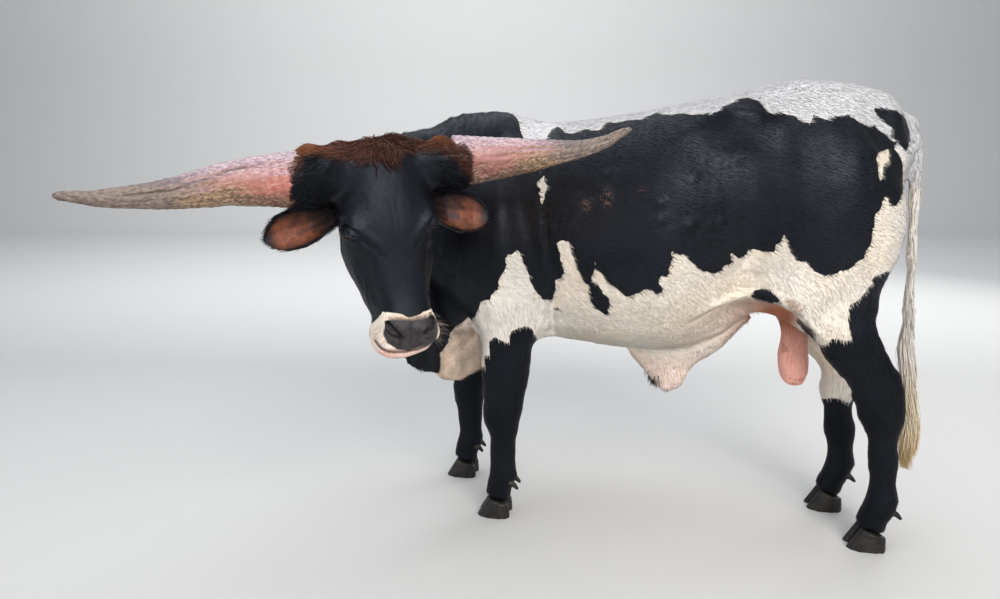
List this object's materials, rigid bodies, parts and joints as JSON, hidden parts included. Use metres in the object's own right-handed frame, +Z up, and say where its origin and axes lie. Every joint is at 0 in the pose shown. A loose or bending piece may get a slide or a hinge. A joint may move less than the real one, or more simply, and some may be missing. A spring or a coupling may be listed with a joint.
{
  "type": "texas longhorn",
  "caption": "Life-size still model of a black and white longhorn bull, standing square with its head turned to its left and long horns out to the sides",
  "frame": {"origin": "middle of the bounding box, at the floor the feet stand on", "axes": "+Z up, the bull's body points along -X and its own left side faces -Y"},
  "size_m": [2.06, 1.3748, 1.4262],
  "materials": {
    "coat_dark": "short glossy black hair",
    "coat_light": "short cream white hair",
    "bare_skin": "soft pink bare skin",
    "horn": "horn, pink at the root and grey at the tip",
    "hoof": "dark horn of the claws",
    "eye": "wet dark brown",
    "hair": "long cream to tan hair"
  },
  "bodies": {
    "root": {"head": "coat_dark", "neck": "coat_dark", "torso": "coat_light", "ear_left": "coat_dark", "horn_left": "horn", "eye_left": "eye", "ear_right": "coat_dark", "horn_right": "horn", "eye_right": "eye", "leg_fore_left": "coat_dark", "claw_fore_left_outer": "hoof", "dewclaw_fore_left_outer": "hoof", "claw_fore_left_inner": "hoof", "dewclaw_fore_left_inner": "hoof", "leg_fore_right": "coat_dark", "claw_fore_right_outer": "hoof", "dewclaw_fore_right_outer": "hoof", "claw_fore_right_inner": "hoof", "dewclaw_fore_right_inner": "hoof", "leg_hind_left": "coat_dark", "claw_hind_left_outer": "hoof", "dewclaw_hind_left_outer": "hoof", "claw_hind_left_inner": "hoof", "dewclaw_hind_left_inner": "hoof", "leg_hind_right": "coat_dark", "claw_hind_right_outer": "hoof", "dewclaw_hind_right_outer": "hoof", "claw_hind_right_inner": "hoof", "dewclaw_hind_right_inner": "hoof", "tail": "coat_light", "tail_switch": "hair", "sheath": "bare_skin", "scrotum": "bare_skin"}
  },
  "joints": []
}
